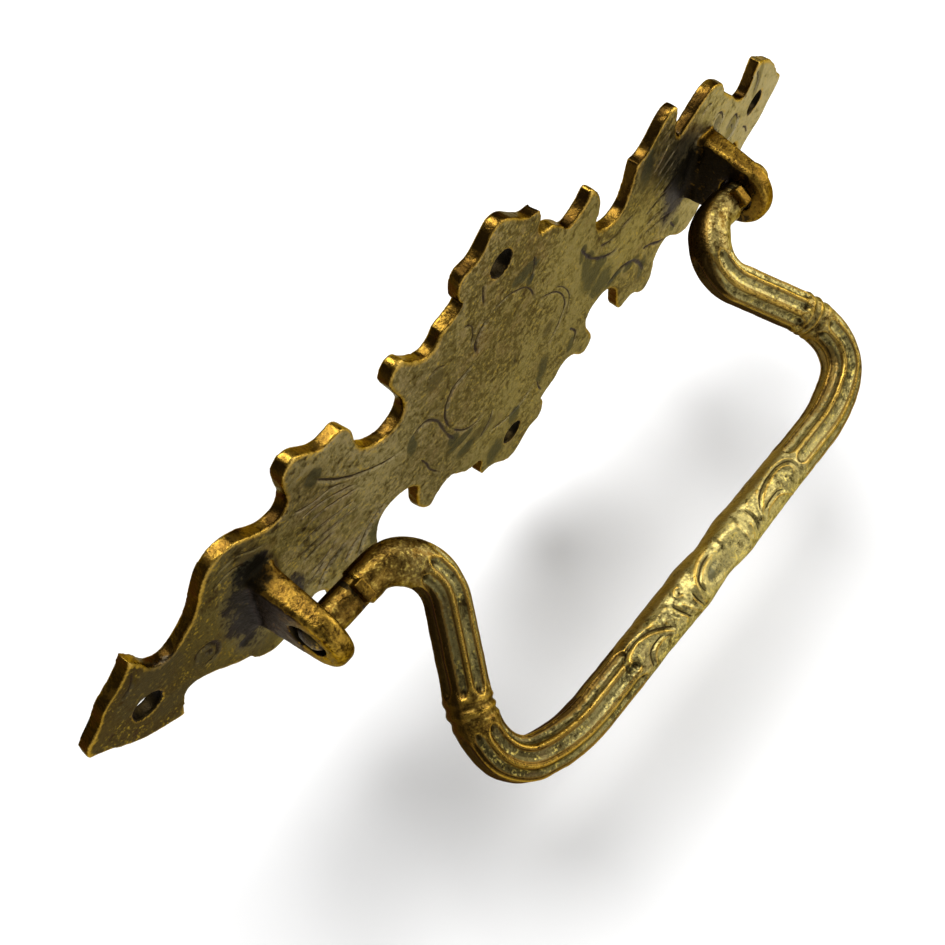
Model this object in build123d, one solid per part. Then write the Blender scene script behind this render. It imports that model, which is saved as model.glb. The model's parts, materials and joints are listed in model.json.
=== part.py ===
# Rococo drawer pull: a cast backplate with two ears and a swinging cast bail handle.
# Millimetres, +Z up. The plate bows off Y=0, which its filed ends touch; its face is
# towards -Y and the bail hangs down from two ears.
from build123d import *
import math
import os

os.makedirs("parts", exist_ok=True)

# Backplate
PLATE_LENGTH = 151.6
PLATE_HEIGHT = 62.0
PLATE_THICK = 2.2
BOW = 1.44
FILED_END = 11.3
END_HOLE_SPACING = 134.0
SCREW_HOLE_D = 4.1
MIDDLE_HOLE_X = 3.1
MIDDLE_HOLE_Z = 23.1

# Ears, on a line a little above the end holes
EAR_INNER_GAP = 92.0
EAR_TIP_THICK = 3.0
EAR_FOOT_THICK = 4.2
EAR_FLARE = 1.2
EAR_SPREAD = 1.3
EAR_WALL = 2.7
EAR_CHAMFER = 0.6
PIN_RISE = 1.3
PIN_STAND = 8.0

# Bail
BAIL_ROD_D = 6.5
PIN_D = 4.8
PIN_CLEARANCE = 0.3
PIN_LENGTH = 11.7
PIN_CHAMFER = 0.8
PIN_NECK = 6.3
SLEEVE_D = 5.4
TAPER_TURN = 45.0
PLAIN_TURN = 80.0
GRIP_DROP = 35.3
BEND_R = 6.4
KNEE_R = 13.2
CORNER_R = 6.3
BLEND_R = 24.5
LEG_SLOPE = 31.9
CORNER_TURN = 65.2
FLUTES = 8
FLUTE_DEPTH = 0.45
GRIP_PLAIN = 43.0
COLLAR_LENGTH = 3.6
COLLAR_BANDS = 3
COLLAR_GROOVE = 0.55
BAND_WIDTH = 1.0
BAND_RISE = 0.15
TAB_WIDTH = 1.6
TAB_LENGTH = 3.0
TAB_STAND = 1.4
TAB_GAP = 1.9
CARTOUCHE_LENGTH = 10.6
CARTOUCHE_WIDTH = 4.8
CARTOUCHE_RIM = 0.7
RELIEF = 0.35
RELIEF_TILT = 20.0

# Rest pose: the bail swung down from straight out, and slid along to the right ear
BAIL_SWING = 33.0
BAIL_SHIFT = 1.7

# Upper edge of the plate from the left tip to the right tip, one row a curve.
# The lower edge is the same line after half a turn.
UPPER_EDGE = (
    ((-75.8, 0), (-75.0, 2.8), (-73.2, 4.6), (-71.5, 7.0), (-69.5, 8.6), (-66.3, 12.4)),
    ((-66.3, 12.4), (-65.2, 10.2), (-64.2, 7.2), (-62.6, 5.7), (-59.8, 6.8), (-57.3, 9.5),
     (-55.3, 13.8), (-52.0, 16.9), (-48.0, 15.7), (-44.4, 13.2), (-42.8, 13.4)),
    ((-42.8, 13.4), (-41.6, 16.8), (-41.5, 21.1), (-39.8, 22.4), (-36.9, 20.4), (-34.6, 19.2),
     (-33.2, 19.5), (-31.9, 19.6)),
    ((-31.9, 19.6), (-30.6, 17.4), (-29.8, 13.6), (-27.8, 10.7), (-24.7, 9.2), (-22.1, 10.4),
     (-21.4, 12.7)),
    ((-21.4, 12.7), (-22.9, 16.5), (-23.9, 20.4), (-22.4, 22.0), (-19.6, 19.8), (-16.9, 18.2),
     (-14.3, 20.4)),
    ((-14.3, 20.4), (-12.3, 20.9), (-10.3, 22.0)),
    ((-10.3, 22.0), (-11.3, 25.6), (-10.3, 27.2), (-8.4, 27.4), (-6.0, 29.5), (-3.5, 31.0),
     (-1.0, 29.6), (1.4, 27.4), (4.4, 26.6)),
    ((4.4, 26.6), (4.9, 25.1), (4.6, 23.2)),
    ((4.6, 23.2), (5.6, 21.3), (7.8, 20.7), (9.8, 19.2), (12.4, 16.9), (14.4, 17.7),
     (16.5, 20.1)),
    ((16.5, 20.1), (18.6, 18.3), (19.7, 14.6), (19.4, 12.0)),
    ((19.4, 12.0), (20.5, 9.3), (23.6, 7.6), (26.6, 8.4), (27.8, 11.0), (28.2, 15.9)),
    ((28.2, 15.9), (30.6, 16.0), (32.6, 17.9), (34.8, 20.1), (36.8, 20.2), (37.7, 17.6),
     (38.7, 14.2), (40.6, 12.1)),
    ((40.6, 12.1), (43.5, 14.0), (48.0, 16.3), (50.3, 15.3), (52.6, 12.2)),
    ((52.6, 12.2), (55.8, 9.3), (59.0, 6.1), (61.7, 4.9), (62.9, 7.2), (63.7, 10.6)),
    ((63.7, 10.6), (66.2, 9.1), (69.8, 6.6), (72.6, 3.2), (75.8, 0)),
)


# Shape of the plate
drawn_half = UPPER_EDGE[-1][-1][0]
drawn_top = max(z for row in UPPER_EDGE for x, z in row)
grow_x = PLATE_LENGTH / 2 / drawn_half
grow_z = PLATE_HEIGHT / 2 / drawn_top


def edge_curves(sign):
    return [Spline(*[(sign * x * grow_x, sign * z * grow_z) for x, z in row])
            for row in UPPER_EDGE]


bow_r = ((PLATE_LENGTH / 2) ** 2 + BOW ** 2) / (2 * BOW)
flat_from = PLATE_LENGTH / 2 - FILED_END
back_rise = bow_r - math.sqrt(bow_r ** 2 - flat_from ** 2)
front_y = -(back_rise + PLATE_THICK)
front = Plane(origin=(0, 0, 0), x_dir=(1, 0, 0), z_dir=(0, -1, 0))


def bowed(crest_y):
    # a long round cylinder whose crest stands at the given height
    return Pos(0, crest_y + bow_r, 0) * Cylinder(bow_r, 2 * PLATE_HEIGHT)


outline = make_face(edge_curves(1) + edge_curves(-1))
blank = front * extrude(outline, amount=-2 * front_y)
plate = (blank & bowed(front_y)) - bowed(-back_rise)

screw_holes = (
    (-END_HOLE_SPACING / 2, 0),
    (END_HOLE_SPACING / 2, 0),
    (-MIDDLE_HOLE_X, MIDDLE_HOLE_Z),
    (MIDDLE_HOLE_X, -MIDDLE_HOLE_Z),
)
for x, z in screw_holes:
    plate -= Location((x, 0, z), (90, 0, 0)) * Cylinder(SCREW_HOLE_D / 2, 4 * PLATE_THICK)

# Ears
pin_y = front_y - PIN_STAND
pin_hole_d = PIN_D + 2 * PIN_CLEARANCE
ear_r = pin_hole_d / 2 + EAR_WALL
ear_inner_x = EAR_INNER_GAP / 2
ear_outer_x = ear_inner_x + EAR_FOOT_THICK
ear_tip_y = pin_y - ear_r
foot_y = front_y + bow_r - math.sqrt(bow_r ** 2 - ear_inner_x ** 2)
root_y = foot_y + PLATE_THICK / 2
flare_y = foot_y - EAR_FLARE


def flare(start, end, corner_x):
    # a hollow quarter round where a face of the ear meets the plate
    reach = EAR_FLARE * math.sqrt(0.5)
    way = math.copysign(1, ear_inner_x + 1 - corner_x)
    middle = (corner_x + way * reach, flare_y + reach)
    return ThreePointArc(start, middle, end)


def right_ear():
    # an arch seen along the pin, thinning towards its tip
    half_root = ear_r + EAR_SPREAD
    root = Line((root_y, PIN_RISE + half_root), (root_y, PIN_RISE - half_root))
    top = CenterArc((pin_y, PIN_RISE), ear_r, 0, 360)
    arch = Plane.YZ * extrude(make_hull([root, top]), amount=2 * ear_inner_x)
    inner_foot_x = ear_inner_x - EAR_FLARE
    outer_foot_x = ear_outer_x + EAR_FLARE
    side_view = make_face([
        Polyline((outer_foot_x, foot_y), (outer_foot_x, root_y), (inner_foot_x, root_y),
                 (inner_foot_x, foot_y)),
        flare((inner_foot_x, foot_y), (ear_inner_x, flare_y), inner_foot_x),
        Polyline((ear_inner_x, flare_y), (ear_inner_x, ear_tip_y),
                 (ear_inner_x + EAR_TIP_THICK, ear_tip_y), (ear_outer_x, flare_y)),
        flare((ear_outer_x, flare_y), (outer_foot_x, foot_y), outer_foot_x),
    ])
    solid = arch & extrude(side_view, amount=PIN_RISE + 2 * ear_r, both=True)
    rim = solid.edges().filter_by(lambda e: e.center().Y < pin_y - ear_r / 2)
    solid = chamfer(rim, EAR_CHAMFER)
    hole = Location((ear_inner_x, pin_y, PIN_RISE), (0, 90, 0))
    return solid - hole * Cylinder(pin_hole_d / 2, 4 * EAR_FOOT_THICK)


ear = right_ear()
backplate = plate + ear + mirror(ear, about=Plane.YZ)

# Centre line of the bail, drawn hanging down in its own plane, right half
slope = math.radians(LEG_SLOPE)
turn = math.radians(CORNER_TURN)
bend_x = ear_inner_x - PIN_NECK
rod_r = BAIL_ROD_D / 2
round_drop = (BEND_R * (1 + math.sin(slope)) + KNEE_R * math.sin(slope)
              + CORNER_R * math.sin(turn) + BLEND_R * (1 - math.sin(turn)))
leg_length = (GRIP_DROP - round_drop) / math.cos(slope)


def arc_from(start, heading, radius, degrees):
    # an arc that leaves a point in a heading; it turns left for positive degrees
    way = math.copysign(1, degrees)
    first = math.radians(heading)
    middle_x = start[0] - way * radius * math.sin(first)
    middle_y = start[1] + way * radius * math.cos(first)
    points = [
        (middle_x + way * radius * math.sin(first + math.radians(degrees * part)),
         middle_y - way * radius * math.cos(first + math.radians(degrees * part)))
        for part in (0, 0.5, 1)
    ]
    return ThreePointArc(*points)


def end_of(curve):
    point = curve @ 1
    return (point.X, point.Y)


leg_heading = LEG_SLOPE - 90
taper_line = arc_from((bend_x, 0), 180, BEND_R, TAPER_TURN)
plain_line = arc_from(end_of(taper_line), 180 + TAPER_TURN, BEND_R, PLAIN_TURN - TAPER_TURN)
bend_line = arc_from(end_of(plain_line), 180 + PLAIN_TURN, BEND_R, 90 + LEG_SLOPE - PLAIN_TURN)
leg_start = end_of(bend_line)
leg_end = (leg_start[0] + leg_length * math.sin(slope), leg_start[1] - leg_length * math.cos(slope))
leg_line = Line(leg_start, leg_end)
collar_turn = math.degrees(COLLAR_LENGTH / KNEE_R)
collar_line = Line(leg_end, end_of(arc_from(leg_end, leg_heading, KNEE_R, -collar_turn)))
knee_line = arc_from(end_of(collar_line), leg_heading - collar_turn, KNEE_R,
                     collar_turn - LEG_SLOPE)
corner_line = arc_from(end_of(knee_line), -90, CORNER_R, -CORNER_TURN)
blend_line = arc_from(end_of(corner_line), -90 - CORNER_TURN, BLEND_R, CORNER_TURN - 90)
grip_start = end_of(blend_line)
grip_line = Line(grip_start, (GRIP_PLAIN / 2, -GRIP_DROP))


def across(curve, where):
    # the plane square to a curve, its x axis along the face of the bail
    point = curve @ where
    return Plane(origin=(point.X, point.Y, 0), x_dir=(0, 0, 1), z_dir=curve % where)


def fluted():
    # a round section with hollow flutes that meet in ridges
    step = math.radians(360 / FLUTES)
    hollow_r = rod_r - FLUTE_DEPTH
    ridges = [(rod_r * math.cos(n * step), rod_r * math.sin(n * step)) for n in range(FLUTES)]
    hollows = [(hollow_r * math.cos((n + 0.5) * step), hollow_r * math.sin((n + 0.5) * step))
               for n in range(FLUTES)]
    return make_face([ThreePointArc(ridges[n], hollows[n], ridges[(n + 1) % FLUTES])
                      for n in range(FLUTES)])


def swept(section, *curves):
    return sweep(across(curves[0], 0) * section, path=Wire(curves))


def collar():
    # a straight neck between the two fluted lengths, ringed by bands that hide its ends
    neck = Cylinder(rod_r - COLLAR_GROOVE, COLLAR_LENGTH + BAND_WIDTH)
    solid = across(collar_line, 0.5).location * neck
    for n in range(COLLAR_BANDS):
        band = Cylinder(rod_r + BAND_RISE, BAND_WIDTH)
        solid += across(collar_line, n / (COLLAR_BANDS - 1)).location * band
    return solid


def half_bail():
    sections = [
        across(taper_line, 0) * Circle(SLEEVE_D / 2),
        across(taper_line, 1) * Circle(rod_r),
        across(plain_line, 1) * Circle(rod_r),
    ]
    half = sweep(sections, path=Wire([taper_line, plain_line]), multisection=True)
    half += swept(fluted(), bend_line, leg_line)
    half += swept(fluted(), knee_line, corner_line, blend_line, grip_line)
    half += collar()
    tab_x = bend_x + TAB_GAP + TAB_WIDTH / 2
    tab = Pos(tab_x, 0, (PIN_D / 2 + TAB_STAND) / 2) * Box(
        TAB_WIDTH, TAB_LENGTH, PIN_D / 2 + TAB_STAND)
    pin = Pos(bend_x + PIN_LENGTH / 2, 0, 0) * Rot(0, 90, 0) * Cylinder(PIN_D / 2, PIN_LENGTH)
    pin = chamfer(pin.edges().sort_by(Axis.X)[-1], PIN_CHAMFER)
    return half + tab + pin


right = half_bail()
grip = Pos(0, -GRIP_DROP, 0) * Rot(0, 90, 0) * Cylinder(rod_r, GRIP_PLAIN)
bail = right + mirror(right, about=Plane.YZ) + grip

# Relief on the grip, on its outer face
relief_plane = Plane(origin=(0, -GRIP_DROP, 0), x_dir=(1, 0, 0), z_dir=(
    0, -math.sin(math.radians(RELIEF_TILT)), math.cos(math.radians(RELIEF_TILT))))


def raised(shape, height):
    prism = relief_plane * extrude(shape, amount=2 * rod_r)
    skin = Pos(0, -GRIP_DROP, 0) * Rot(0, 90, 0) * Cylinder(rod_r + height, GRIP_PLAIN)
    return prism & skin


bail += raised(Ellipse(CARTOUCHE_LENGTH / 2, CARTOUCHE_WIDTH / 2), RELIEF)
dish = Ellipse(CARTOUCHE_LENGTH / 2 - CARTOUCHE_RIM, CARTOUCHE_WIDTH / 2 - CARTOUCHE_RIM)
floor = Pos(0, -GRIP_DROP, 0) * Rot(0, 90, 0) * Cylinder(rod_r - RELIEF / 2, GRIP_PLAIN)
bail -= relief_plane * extrude(dish, amount=2 * rod_r) - floor

# Swing the bail to its place
swing = math.radians(BAIL_SWING)
hanging = Plane(origin=(BAIL_SHIFT, pin_y, PIN_RISE), x_dir=(1, 0, 0),
                z_dir=(0, -math.sin(swing), math.cos(swing)))
bail = hanging.location * bail

# Export
for name, piece in (("backplate", backplate), ("bail", bail)):
    export_step(piece, "parts/" + name + ".step")
    box = piece.bounding_box()
    print(name, len(piece.solids()), round(piece.volume), box.min, box.max)
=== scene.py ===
# Antique brass drawer pull: carved backplate and fluted swan-neck bail
import bmesh
import bpy
import json
import math
import numpy as np
from mathutils import Matrix, Vector


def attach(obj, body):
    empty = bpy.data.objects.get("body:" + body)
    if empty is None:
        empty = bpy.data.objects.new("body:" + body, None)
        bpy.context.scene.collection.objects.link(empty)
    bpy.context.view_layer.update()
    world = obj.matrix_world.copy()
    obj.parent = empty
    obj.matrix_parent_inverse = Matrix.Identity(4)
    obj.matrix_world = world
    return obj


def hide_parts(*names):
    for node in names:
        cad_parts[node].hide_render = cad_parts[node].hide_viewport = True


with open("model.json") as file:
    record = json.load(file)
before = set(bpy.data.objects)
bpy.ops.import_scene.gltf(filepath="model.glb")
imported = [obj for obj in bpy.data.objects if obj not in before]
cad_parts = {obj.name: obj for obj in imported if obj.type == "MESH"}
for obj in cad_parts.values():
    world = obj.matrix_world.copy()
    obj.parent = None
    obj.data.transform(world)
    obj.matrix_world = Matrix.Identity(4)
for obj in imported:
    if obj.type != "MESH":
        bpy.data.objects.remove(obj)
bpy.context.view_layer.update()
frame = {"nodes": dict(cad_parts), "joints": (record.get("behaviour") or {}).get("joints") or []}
mm = 0.001
hinge = frame["joints"][0]
pinPoint = np.array(hinge["pos_m"]) / mm  # all shapes are worked out in millimetres
scene = bpy.context.scene
print("frame loaded")


# Small helpers for meshes

carving = {
    "fadeIn": (-0.02, 0.16),  # share of a cut's length over which it deepens
    "fadeOut": (1.02, 0.78),
    "burrPlace": 1.9,  # in half widths of the cut from its middle
    "burrWidth": 0.7,
    "burrShare": 0.25,  # height of the burr as a share of the cut's depth
}


def newObject(name, data):
    thing = bpy.data.objects.new(name, data)
    scene.collection.objects.link(thing)
    return thing


def getPoints(mesh):
    flat = np.empty(len(mesh.vertices) * 3)
    mesh.vertices.foreach_get("co", flat)
    return flat.reshape(-1, 3) / mm


def setPoints(mesh, points):
    mesh.vertices.foreach_set("co", (points * mm).ravel())
    mesh.update()


def getNormals(mesh):
    flat = np.empty(len(mesh.vertices) * 3, np.float32)
    mesh.vertex_normals.foreach_get("vector", flat)
    return flat.reshape(-1, 3).astype(float)


def getEdges(mesh):
    flat = np.empty(len(mesh.edges) * 2, np.int32)
    mesh.edges.foreach_get("vertices", flat)
    return flat.reshape(-1, 2)


def bakeMesh(thing):
    # the object's shape with its modifiers, as a plain mesh
    bpy.context.view_layer.update()
    shaped = thing.evaluated_get(bpy.context.evaluated_depsgraph_get())
    return bpy.data.meshes.new_from_object(shaped)


def spread(values, edges, count, rounds):
    # evens values out over neighbouring vertices
    degree = np.bincount(edges.ravel(), minlength=count).astype(float)
    degree = degree if values.ndim == 1 else degree[:, None]
    for _ in range(rounds):
        total = np.zeros_like(values)
        np.add.at(total, edges[:, 0], values[edges[:, 1]])
        np.add.at(total, edges[:, 1], values[edges[:, 0]])
        values = 0.5 * values + 0.5 * total / degree
    return values


def writeAttribute(mesh, name, values):
    layer = mesh.attributes.get(name) or mesh.attributes.new(name, "FLOAT", "POINT")
    layer.data.foreach_set("value", values.astype(np.float32))


def readAttribute(mesh, name, size=1):
    flat = np.empty(len(mesh.vertices) * size, np.float32)
    mesh.attributes[name].data.foreach_get("value" if size == 1 else "vector", flat)
    return flat.astype(float) if size == 1 else flat.reshape(-1, size).astype(float)


def markRelief(mesh, fineRounds, wideRounds):
    # how far each vertex stands above its surroundings, near by and further off, in mm
    points = getPoints(mesh)
    normals = getNormals(mesh)
    edges = getEdges(mesh)
    for name, rounds in (("fineRelief", fineRounds), ("wideRelief", wideRounds)):
        even = spread(points, edges, len(points), rounds)
        height = np.einsum("ij,ij->i", points - even, normals)
        writeAttribute(mesh, name, spread(height, edges, len(points), 1))


def flow(points, steps=8):
    # a smooth line through given points
    points = np.array(points, float)
    ends = np.vstack([2 * points[0] - points[1], points, 2 * points[-1] - points[-2]])
    t = np.linspace(0, 1, steps, endpoint=False)[:, None]
    line = []
    for a, b, c, d in zip(ends, ends[1:], ends[2:], ends[3:]):
        bend = 2 * a - 5 * b + 4 * c - d + t * (3 * b - 3 * c + d - a)
        line.append(b + 0.5 * t * (c - a + t * bend))
    return np.vstack(line + [points[-1:]])


def nearLine(places, line):
    # distance to a line of points, which side, and how far along it, for each place
    best = np.full(len(places), 1e9)
    side = np.zeros(len(places))
    along = np.zeros(len(places))
    lengths = np.r_[0, np.cumsum(np.linalg.norm(np.diff(line, axis=0), axis=1))]
    for n in range(len(line) - 1):
        step = line[n + 1] - line[n]
        size = np.linalg.norm(step)
        offset = places - line[n]
        t = np.clip(offset @ step / size ** 2, 0, 1)
        gap = offset - t[:, None] * step
        distance = np.linalg.norm(gap, axis=1)
        closer = distance < best
        best[closer] = distance[closer]
        turn = step[0] * offset[:, 1] - step[1] * offset[:, 0]
        side[closer] = np.sign(turn[closer])
        along[closer] = (lengths[n] + t[closer] * size) / lengths[-1]
    return best, side, along


def smooth(low, high, values):
    t = np.clip((values - low) / (high - low), 0, 1)
    return t * t * (3 - 2 * t)


def lumps(points, size, seed, waves=28):
    # soft uneven swelling, mostly between -1 and 1, with bumps of the given size
    rng = np.random.default_rng(seed)
    total = np.zeros(len(points))
    for _ in range(waves):
        way = rng.normal(size=3)
        way *= 2 * math.pi / (size * rng.uniform(1.2, 2.6)) / np.linalg.norm(way)
        total += np.sin(points @ way + rng.uniform(0, 2 * math.pi))
    return total / math.sqrt(waves)


def castRipple(points, waves):
    # unevenness of the casting in mm, from waves of height, size and seed
    return sum(tall * lumps(points, size, seed) for tall, size, seed in waves)


def lineDistances(flat, lines, reach=2.0):
    # for each carved line, the places near it with their distance, side and share of its length
    for width, deep, points in lines:
        line = flow(points)
        edge = reach * width
        near = np.all((flat > line.min(0) - edge) & (flat < line.max(0) + edge), axis=1)
        if near.any():
            distance, side, along = nearLine(flat[near], line)
            yield near, width, deep, distance, side, along


def carveLines(flat, lines):
    # height of the cuts with the burr beside them, and how much of a cut lies at each place
    height = np.zeros(len(flat))
    mark = np.zeros(len(flat))
    for near, width, deep, distance, side, along in lineDistances(flat, lines):
        taper = smooth(*carving["fadeIn"], along) * smooth(*carving["fadeOut"], along)
        across = distance / (width / 2)
        groove = np.exp(-across ** 2) * taper
        beside = (across - carving["burrPlace"]) / carving["burrWidth"]
        burr = np.exp(-beside ** 2) * taper * (side > 0)
        height[near] -= deep * (groove - carving["burrShare"] * burr)
        mark[near] = np.maximum(mark[near], groove)
    return height, mark


# Node trees written as expressions

class Sock:
    def __init__(self, tree, link):
        self.tree = tree
        self.link = link

    def beside(self):
        # all the outputs of its node, by name
        return {item.name: Sock(self.tree, item) for item in self.link.node.outputs}

    def vector(self, operation, sockets={}, output=0):
        return self.tree.node(
            "ShaderNodeVectorMath", {"operation": operation}, {0: self, **sockets}, output)

    def math(self, operation, *others, swap=False):
        values = [self, *others]
        if swap:
            values.reverse()
        return self.tree.node("ShaderNodeMath", {"operation": operation}, dict(enumerate(values)))

    def __add__(self, other):
        return self.math("ADD", other)

    def __sub__(self, other):
        return self.math("SUBTRACT", other)

    def __rsub__(self, other):
        return self.math("SUBTRACT", other, swap=True)

    def __mul__(self, other):
        return self.math("MULTIPLY", other)

    def __truediv__(self, other):
        return self.math("DIVIDE", other)

    __radd__ = __add__
    __rmul__ = __mul__

    def clamp(self):
        return self.math("MINIMUM", 1.0).math("MAXIMUM", 0.0)

    def step(self, low, high):
        return self.tree.node(
            "ShaderNodeMapRange", {"interpolation_type": "SMOOTHSTEP"},
            {"Value": self, "From Min": low, "From Max": high, "To Min": 0.0, "To Max": 1.0})


class Tree:
    # a node tree, with one method that makes and links any of its nodes
    def __init__(self, tree):
        self.nodes, self.links = tree.nodes, tree.links
        self.nodes.clear()

    def node(self, kind, settings={}, sockets={}, output=0):
        item = self.nodes.new(kind)
        for key, value in settings.items():
            setattr(item, key, value)
        for key, value in sockets.items():
            if isinstance(value, Sock):
                self.links.new(value.link, item.inputs[key])
            else:
                item.inputs[key].default_value = value
        return Sock(self, item.outputs[output]) if item.outputs else None

    def capture(self, geometry, **values):
        # the geometry and the values as they are at this point, by name
        item = self.nodes.new("GeometryNodeCaptureAttribute")
        self.links.new(geometry.link, item.inputs["Geometry"])
        for name, value in values.items():
            kind = "VECTOR" if value.link.type == "VECTOR" else "FLOAT"
            item.capture_items.new(kind, name)
            self.links.new(value.link, item.inputs[name])
        return Sock(self, item.outputs[0]).beside()


class Shader(Tree):
    def __init__(self, name):
        self.material = bpy.data.materials.new(name)
        self.material.use_nodes = True
        super().__init__(self.material.node_tree)

    def objectPlace(self):
        return self.node("ShaderNodeTexCoord", output="Object")

    def attribute(self, name):
        return self.node("ShaderNodeAttribute", {"attribute_name": name}, {}, output="Fac")

    def noise(self, place, perMetre, detail, rough, shift):
        moved = place.vector("ADD", {1: (shift, shift * 0.7, -shift)})
        return self.node("ShaderNodeTexNoise", {}, {
            "Vector": moved, "Scale": perMetre, "Detail": detail, "Roughness": rough})

    def mix(self, factor, first, second):
        return self.node(
            "ShaderNodeMix", {"data_type": "RGBA"}, {0: factor, 6: first, 7: second}, output=2)


# Finish of the metal, shared by both castings

# linear colours; the tints that differ between the castings stand with each of them
brass = {
    "rubbed": (0.74, 0.485, 0.110, 1),  # bare edges
    "gold": (0.44, 0.262, 0.034, 1),  # worn places
    "brown": (0.150, 0.080, 0.012, 1),  # lacquered brown, also the lighter painted shade
    "deep": (0.024, 0.012, 0.0025, 1),  # dark brown in the dips, also the darkest painted shade
    "black": (0.0065, 0.0048, 0.0025, 1),  # soot-black patina, also painted shade in holes, grooves and beside the ears
    "umber": (0.044, 0.030, 0.010, 1),  # the darkest film, also the painted shade at the plate's near end
    "rust": (0.150, 0.088, 0.038, 1),  # reddish places in the film
    "blue": (0.040, 0.046, 0.036, 1),  # blue-grey patches
    "grey": (0.062, 0.052, 0.034, 1),  # bare grey-brown film
    "graze": (0.48, 0.42, 0.22, 1),  # tint of what it mirrors at a low angle
    "fine": 0.035,  # relief in mm that counts as a sharp edge
    "wide": 0.30,  # and as a high place
    # noises: scale per metre, detail, roughness, shift
    "speckle": (950.0, 5.0, 0.68, 0.0),
    "grain": (2600.0, 2.0, 0.55, 0.3),
    "cloud": (260.0, 5.0, 0.62, 0.9),
    "broad": (62.0, 3.0, 0.5, 1.7),
    "speckleHeight": 0.00020,  # bump of each noise, in metres
    "grainHeight": 0.00009,
    "cloudHeight": 0.00012,
    "bumpStrength": 0.6,
    "patches": (("grey", 0.6), ("blue", 0.8), ("black", 0.95)),  # and how well they cover
    "roughness": 0.31,
    "metallic": 0.98,
    "specularLevel": 0.3,
}


def castBrass(name, film, filmDark, paleFilmAndSheen, glint, filmCover, goldCover, edge, cutCover):
    s = Shader(name)
    place = s.objectPlace()
    fine = s.attribute("fineRelief") / brass["fine"]
    wide = s.attribute("wideRelief") / brass["wide"]
    dull, cut, toneSheenAndShade = s.attribute("dull"), s.attribute("cut"), s.attribute("toneSheenAndShade")
    speckle, grain, cloud, broad = (
        s.noise(place, *brass[key]) - 0.5 for key in ("speckle", "grain", "cloud", "broad"))
    # breaks up every border between two tints
    ragged = speckle * 1.3 + cloud * 0.35 + grain * 0.7
    # worn metal: brown with gold showing through
    browned = (ragged + broad + goldCover).step(-0.42, 0.20)
    gilded = (ragged - broad * 0.8 + cloud * 0.5 + goldCover).step(-0.05, 0.70)
    metal = s.mix(browned, brass["deep"], brass["brown"])
    metal = s.mix(gilded, metal, brass["gold"])
    # dull film on the flat and sheltered places, with metal and dirt showing through it
    skin = s.mix((speckle + grain * 0.8 + cloud * 0.8 + broad).step(-0.16, 0.16), filmDark, film)
    skin = s.mix((cloud * 2.6 + speckle - broad).step(0.0, 0.5) * 0.6, skin, brass["rust"])
    # painted sheen in the pale film where the tone is high, and painted shade in umber where it is
    # low, over the film's own tone
    skin = s.mix((toneSheenAndShade + ragged * 1.2).clamp(), skin, paleFilmAndSheen)
    skin = s.mix((ragged * 1.2 - toneSheenAndShade).clamp() * 0.85, skin, brass["umber"])
    fleck = (speckle * 1.2 + grain * 1.3 - cloud * 0.4).step(0.13, 0.28)
    pit = (grain - speckle * 1.4 - cloud * 0.7).step(0.13, 0.30)
    skin = s.mix(fleck * 0.7, skin, glint)
    skin = s.mix(pit * 0.75, skin, brass["deep"])
    cover = (dull * filmCover + ragged * 0.35).step(0.25, 0.75)
    colour = s.mix(cover, metal, skin)
    # rubbed high places and dark low ones, then painted shade from the shade attribute
    raised = fine * (0.5 * edge) + wide * (0.4 * edge) + ragged * 1.1
    worn = raised.step(0.45, 1.2)
    rubbed = raised.step(1.1, 2.1)
    colour = s.mix(worn * 0.7, colour, brass["gold"])
    colour = s.mix(rubbed * 0.8, colour, brass["rubbed"])
    hollow = (ragged * 0.5 - fine * 0.4 - wide * 0.9).step(0.22, 0.9)
    colour = s.mix(hollow * 0.9, colour, brass["deep"])
    # painted shade: brown where it is light, dark brown where it is strongest
    shade = s.attribute("shade") + ragged * 0.9
    colour = s.mix(shade.step(0.22, 0.50) * 0.8, colour, brass["brown"])
    colour = s.mix(shade.step(0.60, 1.05) * 0.9, colour, brass["deep"])
    # patches of patina; the black one also carries painted shade in holes, grooves and beside the
    # ears
    for tint, strength in brass["patches"]:
        reach = s.attribute(tint + "Patch")
        patch = (reach + (ragged * 1.5 + cloud * 2.4) * (reach * 2.5).clamp()).step(0.22, 0.68)
        colour = s.mix(patch * strength, colour, brass[tint])
    inCut = (cut + ragged * 1.2 + cloud).step(0.42, 0.95)
    colour = s.mix(inCut * cutCover, colour, brass["deep"])
    # the black patina with its painted shade, the cuts and the film are duller than metal
    patinaAndShade = s.attribute("blackPatch").math("MAXIMUM", inCut).clamp()
    rough = (brass["roughness"] + cover * 0.06 + speckle * 0.45 - worn * 0.06 + patinaAndShade * 0.15).clamp()
    shine = (brass["metallic"] - cover * 0.08 - patinaAndShade * 0.30).clamp()
    height = (speckle * brass["speckleHeight"] + grain * brass["grainHeight"]
              + cloud * brass["cloudHeight"])
    bump = s.node("ShaderNodeBump", {}, {
        "Strength": brass["bumpStrength"], "Distance": 1.0, "Height": height})
    shader = s.node("ShaderNodeBsdfPrincipled", {}, {
        "Base Color": colour, "Roughness": rough, "Metallic": shine, "Normal": bump,
        "Specular Tint": brass["graze"], "Specular IOR Level": brass["specularLevel"]})
    s.node("ShaderNodeOutputMaterial", {}, {"Surface": shader})
    return s.material


# Backplate

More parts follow.
